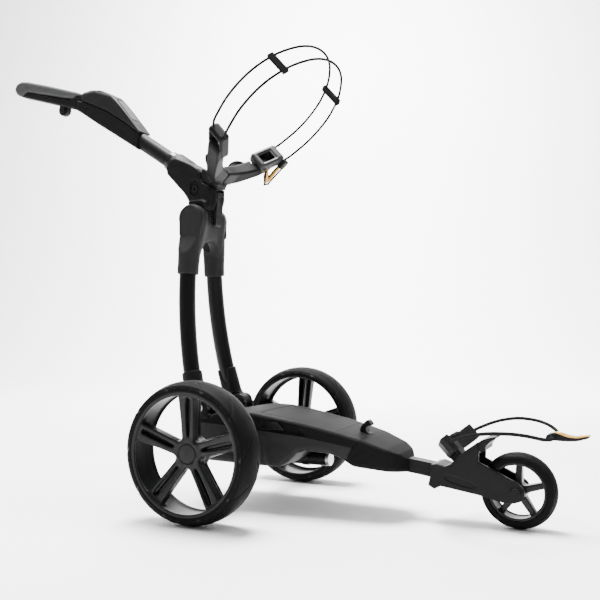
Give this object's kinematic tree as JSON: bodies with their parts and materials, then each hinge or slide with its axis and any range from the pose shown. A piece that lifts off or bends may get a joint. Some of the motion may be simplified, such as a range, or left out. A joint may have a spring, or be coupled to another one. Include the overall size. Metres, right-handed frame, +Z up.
{
  "type": "golf_trolley",
  "caption": "Three wheeled electric golf trolley with folding posts, folding handle, lift-out battery and elastic bag straps on two cradles",
  "frame": {"origin": "On the ground at the middle of the trolley's length and width", "axes": "X forward, Y left, Z up"},
  "size_m": [1.479, 0.6, 1.066],
  "materials": {
    "casting": "matte",
    "shell": "satin",
    "insert": "satin",
    "frame_black": "matte",
    "yoke_grey": "matte",
    "tube_black": "gloss",
    "steel": "gloss",
    "rim": "satin",
    "rubber": "matte",
    "grip": "matte",
    "cord": "matte",
    "hook": "satin",
    "screen": "gloss",
    "panel": "gloss",
    "pad": "satin"
  },
  "bodies": {
    "chassis": {"lower_shell": "casting", "upper_shell": "shell", "nose_cover": "shell", "side_inserts": "insert", "axle_tubes": "tube_black", "axle_bearings": "steel", "gearbox_housing": "yoke_grey", "motor": "yoke_grey", "controller_box": "casting", "battery_connector": "frame_black", "post_brackets": "frame_black", "post_hinge_pins": "steel", "front_arm": "tube_black", "fork": "frame_black", "bag_shelf": "frame_black", "lower_cradle": "frame_black", "front_axle": "steel", "lower_strap_right": "cord", "lower_strap_left": "cord", "lower_strap_hook": "hook"},
    "battery": {"battery_case": "casting", "battery_lid": "shell"},
    "latch": {"battery_latch": "frame_black"},
    "rear_wheels": {"drive_shaft": "steel", "drive_gear": "steel", "rim_right": "rim", "rim_left": "rim", "tyre_right": "rubber", "tyre_left": "rubber"},
    "hub_button_right": {"hub_cap_right": "casting"},
    "hub_button_left": {"hub_cap_left": "casting"},
    "motor_rotor": {"motor_pinion": "steel"},
    "front_wheel": {"front_rim": "rim", "front_tyre": "rubber", "front_bearings": "steel"},
    "posts": {"post_right": "tube_black", "post_left": "tube_black", "lower_sleeves": "frame_black", "yoke": "yoke_grey", "ear_covers": "yoke_grey", "pivot_pin": "steel"},
    "upper_frame": {"folding_neck": "frame_black", "accessory_insert": "insert", "stem_collar": "insert", "stem_tube": "tube_black", "upper_cradle": "frame_black", "strap_pad_right": "pad", "strap_pad_left": "pad", "upper_strap_high": "cord", "upper_strap_low": "cord", "strap_bands": "cord", "upper_strap_hook": "hook", "console_lower": "frame_black", "console_cover": "casting", "display_screen": "screen", "status_panel": "panel", "grip_core": "frame_black", "grip_cover": "grip"},
    "lever": {"fold_lever": "frame_black"},
    "dial": {"speed_dial": "frame_black"}
  },
  "joints": [
    {"name": "rear_wheels_spin", "type": "hinge", "parent": "chassis", "child": "rear_wheels", "pos_m": [0.026, 0, 0.148], "axis": [0, 1, 0], "continuous": true},
    {"name": "motor_spin", "type": "hinge", "parent": "chassis", "child": "motor_rotor", "pos_m": [-0.019, 0, 0.148], "axis": [0, 1, 0], "continuous": true},
    {"name": "front_wheel_spin", "type": "hinge", "parent": "chassis", "child": "front_wheel", "pos_m": [0.635, 0, 0.077], "axis": [0, 1, 0], "continuous": true},
    {"name": "battery_lift", "type": "slide", "parent": "chassis", "child": "battery", "axis": [0, 0, -1], "range_m": [-0.12, 0]},
    {"name": "latch_swing", "type": "hinge", "parent": "chassis", "child": "latch", "pos_m": [0.304, 0, 0.166], "axis": [0, 1, 0], "range_deg": [0, 35], "stiffness_Nm_per_rad": 0.25, "springref_deg": -9.74},
    {"name": "post_fold", "type": "hinge", "parent": "chassis", "child": "posts", "pos_m": [-0.056, 0, 0.22], "axis": [0, 1, 0], "range_deg": [0, 70]},
    {"name": "handle_fold", "type": "hinge", "parent": "posts", "child": "upper_frame", "pos_m": [-0.115, 0, 0.66], "axis": [0, -1, 0], "range_deg": [0, 95]},
    {"name": "lever_swing", "type": "hinge", "parent": "upper_frame", "child": "lever", "pos_m": [-0.077, 0, 0.716], "axis": [0, -1, 0], "range_deg": [0, 25], "stiffness_Nm_per_rad": 0.4, "springref_deg": -9.74},
    {"name": "dial_turn", "type": "hinge", "parent": "upper_frame", "child": "dial", "pos_m": [-0.548, 0, 0.975], "axis": [0, 1, 0], "range_deg": [-135, 135]},
    {"name": "hub_press_right", "type": "slide", "parent": "rear_wheels", "child": "hub_button_right", "axis": [0, 1, 0], "range_m": [0, 0.003], "stiffness_N_per_m": 900, "springref_m": -0.002},
    {"name": "hub_press_left", "type": "slide", "parent": "rear_wheels", "child": "hub_button_left", "axis": [0, -1, 0], "range_m": [0, 0.003], "stiffness_N_per_m": 900, "springref_m": -0.002}
  ],
  "couplings": [
    {"joint": "motor_spin", "follows": "rear_wheels_spin", "ratio": -4}
  ]
}
